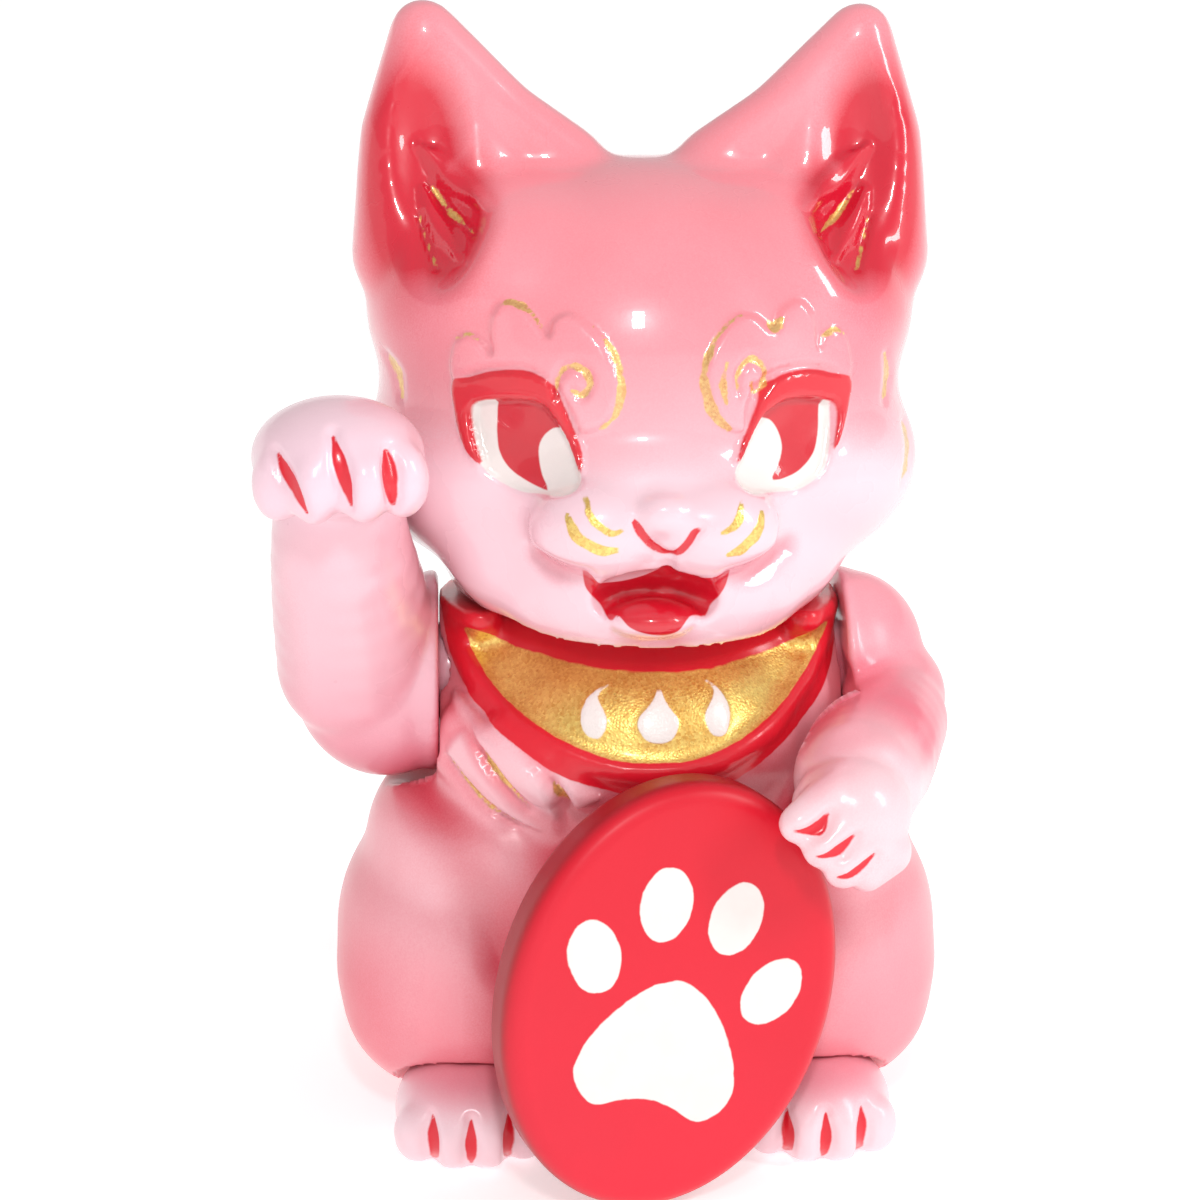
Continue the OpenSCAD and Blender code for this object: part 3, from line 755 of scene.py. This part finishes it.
# ---------------------------------------------------------------------------------------------
# Head: one hollow casting with the ears, muzzle, open mouth and relief of fur on the brows and
# cheeks. It is sprayed deeper pink from above, painted by brush and clear-coated to a high gloss.
# ---------------------------------------------------------------------------------------------
bm = bmesh.new()
ball(bm, (0, 0, 109), (37.5, 31.5, 31))
pair(bm, (16, 0, 119), (23.5, 25.5, 20))
pair(bm, (18, -3, 97.5), (22.2, 25, 16.5))
ball(bm, (0, -21.5, 94), (21, 15.5, 13))
ball(bm, (0.5, -20.5, 83), (22.5, 14.5, 12))
pair(bm, (15.6, -14, 86.8), (13, 13.4, 11.2))
drum(bm, (0, 0, 75), (0, 0, 1), 25.5, 14, radius_end=32.5)
head = wax("head_casting", bm)
melt(head, 1.2, 25)
bm = bmesh.new()
for side in (-1, 1):
    tip = (side * 30.6, -1, 156.6, 4.9)
    roll(bm, tip, (side * 33.3, -2, 142, 6.6), (side * 32.2, -3, 126, 9))
    roll(bm, tip, (side * 24, -1, 138, 7.5), (side * 21, -1, 133, 8))
    roll(bm, tip, (side * 19.5, -1, 145.5, 5), (side * 9.5, 0, 137.4, 6))
press_on(head, bm)
melt(head, 0.8, 4)
bm = bmesh.new()
pair(bm, (29.6, -15.6, 139), (8.6, 8.6, 18.5), (-24, -4, 0))
carve(head, bm)
melt(head, 0.8, 12)
bm = bmesh.new()
pair(bm, (7.2, -31.6, 92.4), (9.8, 7.8, 7.2))
ball(bm, (1, -36.6, 95), (4.2, 3.2, 3))
press_on(head, bm)
melt(head, 0.7, 8)

# the flat under the chin that the collar clears, and the open mouth with its tongue
bm = bmesh.new()
rim = [bm.verts.new((r * mm, 0, z * mm)) for r, z in ((0, 77.45), (29.6, 77.45), (33.6, 72.4), (60, 54),
                                                      (60, 40), (0, 40))]
edges = [bm.edges.new(ends) for ends in zip(rim, rim[1:])]
bmesh.ops.spin(bm, geom=rim + edges, cent=(0, 0, 0), axis=(0, 0, 1), steps=96, angle=math.tau, use_merge=True,
               use_duplicate=False)
bmesh.ops.remove_doubles(bm, verts=bm.verts, dist=1e-6)
bmesh.ops.recalc_face_normals(bm, faces=bm.faces)
carve(head, bm)
bm = bmesh.new()
ball(bm, (0.1, -36, 82.6), (9.4, 7.5, 4.7))
carve(head, bm)
bm = bmesh.new()
ball(bm, (-0.2, -31.4, 79.8), (6.4, 5.4, 2.7))
press_on(head, bm)
melt(head, 0.56, 2)

flat, at, way = from_front(head, -6.0), spots(head), outward(head)
lids = np.minimum(
    patch(flat, [(-26.6, 110.7), (-24.2, 111.6), (-21.3, 112.6), (-17.9, 113), (-15.3, 112.5), (-13.1, 110.9),
                 (-11.7, 108), (-10.4, 104.8), (-9.5, 102), (-9.9, 99.8), (-10.6, 101.4), (-11.5, 103.9),
                 (-12.6, 105.8), (-14.4, 108.3), (-16.8, 109.1), (-20.7, 108.9), (-23.9, 107.9), (-24, 104.6),
                 (-23.5, 102.2), (-22.9, 100), (-24.7, 101.3), (-25.8, 103.7), (-26.4, 106.8)]),
    patch(flat, [(27.2, 111), (23.9, 112.2), (21.4, 112.8), (18.6, 112.7), (16.2, 112), (14.4, 110.7),
                 (13.6, 108.5), (12.6, 105.9), (11.5, 103.2), (10.9, 100.8), (11.8, 101.6), (12.9, 103.9),
                 (14.3, 106.6), (15.8, 108), (17.9, 109), (20.7, 109.1), (23.4, 108.5), (25, 107.6),
                 (25.2, 105), (24.7, 101.8), (25.5, 102.6), (26.4, 104.9), (27, 107.7)]))
eyes = np.minimum(
    patch(flat, [(-24.2, 108.4), (-20.5, 109.3), (-16.8, 109.5), (-14, 108.6), (-12.2, 105.8), (-11.1, 103.6),
                 (-10.1, 100.8), (-10.1, 99.1), (-11.7, 97.8), (-15.4, 97), (-17.9, 96.8), (-20.7, 97.9),
                 (-22.9, 99.7), (-23.7, 102), (-24.2, 104.6)]),
    patch(flat, [(12.1, 103.2), (14, 106.6), (15.7, 108.4), (18, 109.4), (21, 109.6), (24.3, 108.3),
                 (24.6, 104.4), (24.3, 101.6), (23.5, 99.1), (21.5, 97.3), (19.2, 96.6), (15.2, 97),
                 (12.4, 97.9), (11, 99.4), (11.2, 101)]))
irises = np.minimum(
    patch(flat, [(-20.7, 109.4), (-21.2, 105.5), (-20.9, 102.3), (-19.6, 99.9), (-17.3, 98.3), (-14.8, 97.7),
                 (-15.4, 99.6), (-15.7, 102.2), (-15.2, 103.9), (-13.9, 105.2), (-12.2, 105.9), (-13.2, 109),
                 (-17, 110.4)]),
    patch(flat, [(14.2, 107), (16.1, 106.2), (17.4, 104.5), (17.9, 102.3), (17.4, 100.3), (16.6, 98.6),
                 (18.1, 98.4), (20.3, 99.3), (22.2, 101.4), (23, 103.8), (23.3, 107), (23.1, 109.4),
                 (19, 110.4), (15.3, 109)]))
brows = np.minimum(
    patch(flat, [(-26.8, 115.4), (-25.1, 117.3), (-23.1, 116.8), (-21.4, 115.2), (-21.8, 117.6),
                 (-21.5, 119.9), (-19.9, 121.8), (-16.7, 120.9), (-14.1, 117.6), (-13.4, 119.6),
                 (-11.1, 120.6), (-8.6, 119.1), (-6.4, 116.7), (-5, 113.2), (-4.6, 110.2), (-5.7, 107.1),
                 (-7.7, 105.3), (-9.9, 105.1), (-11.6, 108.6), (-13.6, 111.4), (-17, 113.2), (-22, 112.8),
                 (-26.6, 111)]),
    patch(flat, [(12.1, 105), (9.7, 105.3), (8, 107.2), (6.9, 110.2), (6.5, 113), (7.2, 115.7), (9.2, 118.7),
                 (11.2, 120.4), (13.7, 120.1), (16, 118.4), (17.1, 120.9), (19.8, 122.1), (21.9, 119.6),
                 (22.2, 116), (23, 117.4), (25.3, 118.1), (27, 115.8), (27.2, 111.2), (22, 113.2),
                 (17, 113.2), (14, 111.4), (12.4, 108.6)]))
curls = strokes(flat, [(-13, 109.8, 0.3), (-12.8, 111.9, 0.6), (-11.5, 113.7, 0.8), (-9.4, 113.4, 0.8),
                       (-8.6, 111.6, 0.8), (-9.5, 110, 0.7), (-10.8, 110.7, 0.4)],
                [(11.1, 110.2, 0.3), (10.9, 112.7, 0.6), (12.5, 114.6, 0.8), (14.4, 113.6, 0.8),
                 (14.9, 111.6, 0.8), (13.9, 110.2, 0.7), (12.9, 111.4, 0.4)])
nose = strokes(flat, [(-3.1, 94.5, 0.7), (-2.4, 93.2, 1.1), (-1.2, 91.6, 1.0), (0.2, 90.3, 1.0),
                      (1.6, 89.7, 0.7), (2.9, 90.3, 1.0), (4, 91.7, 1.0), (4.8, 93.1, 0.9), (5.6, 93.6, 0.5)])
mouth = patch(flat, [(-9.9, 86.6), (-9.2, 84.4), (-7.3, 81.9), (-6, 80), (-4.9, 80.8), (-3.5, 79.6),
                     (-1.6, 78.8), (0.7, 78.4), (2.9, 78.8), (4.7, 80.6), (6.8, 80.2), (7.8, 81.8), (9, 83.6),
                     (10.2, 86.4), (6.6, 86.1), (3.6, 86.5), (1.7, 87.4), (0.4, 86.5), (-1.5, 85.3),
                     (-4.3, 84.7), (-7.2, 85.1), (-8.5, 86.3)])
whiskers = strokes(flat, [(-9.5, 97.3, 0.6), (-8.9, 95.3, 1.1), (-7.6, 93.9, 1.0), (-6, 93, 0.9),
                          (-4.5, 93.5, 0.4)],
                   [(-11.9, 95.2, 0.6), (-11, 92.9, 1.5), (-9.4, 91.6, 1.5), (-7.5, 90.8, 1.4),
                    (-5.4, 90.7, 0.6)],
                   [(11.2, 96.8, 0.5), (10.8, 94.8, 1.2), (10, 93.8, 1.0), (8.4, 92.9, 0.4)],
                   [(14, 95.3, 0.5), (13.6, 93.2, 1.3), (12.4, 91.8, 1.5), (11, 90.6, 1.4), (9.3, 90, 0.6)])
fur = strokes(from_front(head, 8.0), [(-36.2, 113, 0.3), (-34.6, 110.6, 1.1), (-34, 107.4, 0.4)],
              [(33.4, 113.4, 0.3), (34.2, 110.4, 1.1), (33.4, 107, 0.4)],
              [(-37.2, 103.5, 0.3), (-37.6, 99.5, 1.1), (-36.4, 95.6, 0.4)],
              [(36.8, 103.5, 0.3), (37.4, 99.5, 1.1), (36.2, 95.6, 0.4)])
rubbed = strokes(flat, [(-8.2, 119, 0.3), (-6.1, 116.6, 0.7), (-4.8, 113.3, 1.0), (-4.5, 110.3, 1.1),
                        (-5.4, 107.3, 0.8), (-7.4, 105.4, 0.3)],
                 [(-20.8, 121.3, 0.3), (-18.9, 121.7, 0.9), (-16.4, 120.5, 0.7), (-14.6, 118.4, 0.3)],
                 [(-26.2, 116.6, 0.3), (-24.6, 117.3, 0.7), (-22.8, 116.5, 0.3)],
                 [(10, 105.3, 0.5), (8, 107.4, 1.1), (6.8, 110.3, 1.2), (6.5, 113.2, 1.0), (7.3, 116, 0.7),
                  (9.4, 118.8, 0.5), (11.6, 120.3, 0.2)],
                 [(9.4, 108.6, 0.3), (8.9, 111.6, 0.9), (9.4, 114.4, 0.3)],
                 [(15.3, 119.5, 0.4), (16.1, 118.5, 1.6), (17, 119.6, 0.5)],
                 [(22.9, 117.1, 0.5), (24.6, 118, 0.7), (26.2, 117.3, 0.3)])
smile = strokes(flat, [(-9.9, 86.6, 0.5), (-13, 86.8, 1.6), (-15.8, 88.4, 0.4)],
                [(10.2, 86.4, 0.5), (14, 86.7, 1.8), (18.4, 88.8, 0.4)])
philtrum = strokes(flat, [(1.6, 89.4, 0.4), (1.5, 87.4, 0.8)])
folds = np.minimum(*[strokes(flat, [(side * 31.4, 141.4, 0.5), (side * 29, 139.4, 2.6),
                                    (side * 26, 136.6, 3.4), (side * 22.6, 134, 1.4)],
                             [(side * 31, 135.4, 0.5), (side * 29.6, 132.2, 2.2), (side * 27.8, 129.4, 2.6),
                              (side * 26, 127, 1.0)]) for side in (-1, 1)])
creases = strokes(flat, *[[(side * 29.8, 136.2, 0.2), (side * 28.2, 134, 0.8), (side * 26.4, 132, 0.7),
                           (side * 24, 130, 0.2)] for side in (-1, 1)],
                  *[[(side * 31.2, 132, 0.2), (side * 30.2, 128.8, 0.6), (side * 29, 125.4, 0.2)]
                    for side in (-1, 1)])
push(head, 1.0 * ramp(brows, -0.8, 0.3) - 0.75 * ramp(curls, -0.2, 0.7) + 1.1 * ramp(lids, -0.5, 0.35)
     - 0.8 * ramp(eyes, -0.6, 0.5) * ramp(-lids, -0.4, 0.2)
     + 1.3 * ramp(folds, -1.0, 0.8) - 0.6 * ramp(creases, -0.2, 0.8) - 0.35 * ramp(nose, -0.2, 0.6)
     - 0.9 * ramp(smile, -0.6, 2.2) - 0.6 * ramp(philtrum, -0.3, 1.2) - 0.4 * ramp(fur, -0.3, 1.0))
mark(head, "lids", lids)
mark(head, "eyes", eyes)
mark(head, "irises", irises)
mark(head, "nose", nose)
mark(head, "mouth", mouth)
mark(head, "whiskers", whiskers)
mark(head, "rubbed", np.min((rubbed, curls, fur, creases), axis=0))
pale = np.maximum(puff(head, (1, -40, 88), (27, 34, 20)),
                  0.8 * np.maximum(puff(head, (-26, -22, 90), (24, 26, 18)),
                                   puff(head, (26, -22, 90), (24, 26, 18))))
mark(head, "mist", 0.24 + 0.55 * ramp(-at[:, 2], -122, -92) + 0.2 * ramp(at[:, 2], 74, 90) * (way[:, 1] > 0)
     - 0.75 * pale)
ears = np.maximum(*[np.maximum(puff(head, (side * 32.4, -7, 136), (10.5, 22, 25)),
                               puff(head, (side * 27, -12, 131), (9, 18, 15))) for side in (-1, 1)])
mark(head, "ears", (1.9 * ears - 0.35 * ramp(folds, -1, 0.5)) * np.clip(0.35 - way[:, 1], 0, 1))
# A pink spot on each side of the head and one under the mouth, with pink painted shade along the smile
# grooves.
mark(head, "cheek", 0.5 * np.maximum(puff(head, (-31, -16, 117), (14, 16, 18)),
                                     puff(head, (31, -16, 117), (14, 16, 18)))
     + 0.6 * ramp(smile, -0.6, 2.4) + 0.5 * puff(head, (0.5, -33, 76.8), (8, 7, 3)))
face_paint = Finish("head_paint", paint(244, 206, 216), paint(248, 124, 136), 0.28, 1.0, 0.03)
# pink spots, and painted shade in the smile grooves
face_paint.spray("cheek", paint(226, 92, 114))
face_paint.spray("ears", paint(212, 14, 46))
face_paint.brush("mouth", paint(212, 22, 44), wander=0.1)
face_paint.brush("eyes", brush_white, wander=0.1)
face_paint.brush("irises", paint(208, 22, 42), wander=0.15)
face_paint.brush("lids", brush_red, wander=0.15)
face_paint.brush("nose", brush_red, wander=0.3)
face_paint.gild("whiskers", wander=0.7)
face_paint.gild("rubbed", wander=1.3, strength=0.8)
face_paint.finish(head)
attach(head, "head")
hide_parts("head")

# ---------------------------------------------------------------------------------------------
# Studio: a pale bowl of paper with no corner to see, two soft boxes and the camera.
# ---------------------------------------------------------------------------------------------
azimuth, elevation, distance = math.radians(-4), math.radians(13), 0.4
target = Vector((0, 0, 0.075))
back = Vector((math.sin(azimuth) * math.cos(elevation), -math.cos(azimuth) * math.cos(elevation),
               math.sin(elevation)))
camera = bpy.data.objects.new("camera", bpy.data.cameras.new("camera"))
bpy.context.scene.collection.objects.link(camera)
camera.rotation_mode = "QUATERNION"
camera.rotation_quaternion = ((-back).to_track_quat("-Z", "Y")
                              @ Euler((0, 0, math.radians(0.5))).to_quaternion())
camera.location = target + back * distance
camera.data.lens = 6.8 * 400 / 1200 * 36
camera.data.shift_x = -37 / 1200
camera.data.clip_start = 0.01
bpy.context.scene.camera = camera

paper = bpy.data.materials.new("paper")
paper.use_nodes = True
sheet = paper.node_tree.nodes["Principled BSDF"]
sheet.inputs["Roughness"].default_value = 0.8
sheet.inputs["Emission Color"].default_value = (1, 1, 1, 1)
sheet.inputs["Emission Strength"].default_value = 0.45
place = node(paper.node_tree, "TexCoord").outputs["Object"]
tooth = node(paper.node_tree, "MapRange", {0: grain(paper.node_tree, place, 900, 3), 1: -0.5, 2: 0.5, 3: 0.0,
                                           4: 1.0}).outputs[0]
paper.node_tree.links.new(mix(paper.node_tree, tooth, paint(243, 242, 241), paint(249, 248, 247)),
                          sheet.inputs["Base Color"])
floor = bpy.data.objects.new("floor", bpy.data.meshes.new("floor"))
bm = bmesh.new()
bmesh.ops.create_circle(bm, cap_ends=True, segments=96, radius=2.5)
bend = bm.edges[:]
rise = bmesh.ops.extrude_edge_only(bm, edges=bend)
lip = [v for v in rise["geom"] if isinstance(v, bmesh.types.BMVert)]
bmesh.ops.scale(bm, vec=(1.3, 1.3, 1), verts=lip)
bmesh.ops.translate(bm, vec=(0, 0, 1.0), verts=lip)
bmesh.ops.bevel(bm, geom=bend, offset=0.6, offset_type="OFFSET", segments=12, profile=0.5, affect="EDGES",
                material=-1)
for face in bm.faces:
    face.smooth = True
bm.to_mesh(floor.data)
bm.free()
bpy.context.scene.collection.objects.link(floor)
floor.data.materials.append(paper)


def soft_box(name, place, aim, size, watts):
    """A rectangular soft light at place, turned to aim."""
    lamp = bpy.data.lights.new(name, "AREA")
    lamp.shape, lamp.size, lamp.size_y, lamp.energy = "RECTANGLE", size[0], size[1], watts
    box = bpy.data.objects.new(name, lamp)
    box.location = place
    box.rotation_mode = "QUATERNION"
    box.rotation_quaternion = (Vector(aim) - Vector(place)).to_track_quat("-Z", "Y")
    bpy.context.scene.collection.objects.link(box)


soft_box("key", (-0.02, -0.58, 0.5), (0, 0, 0.08), (0.05, 0.1), 1.25)
soft_box("side", (0.5, -0.3, 0.42), (0, 0, 0.09), (0.1, 0.3), 1.25)
world = bpy.data.worlds.new("studio")
world.use_nodes = True
world.node_tree.nodes["Background"].inputs["Color"].default_value = (1, 1, 1, 1)
world.node_tree.nodes["Background"].inputs["Strength"].default_value = 0.53
bpy.context.scene.world = world
bpy.context.scene.view_settings.view_transform = "Standard"
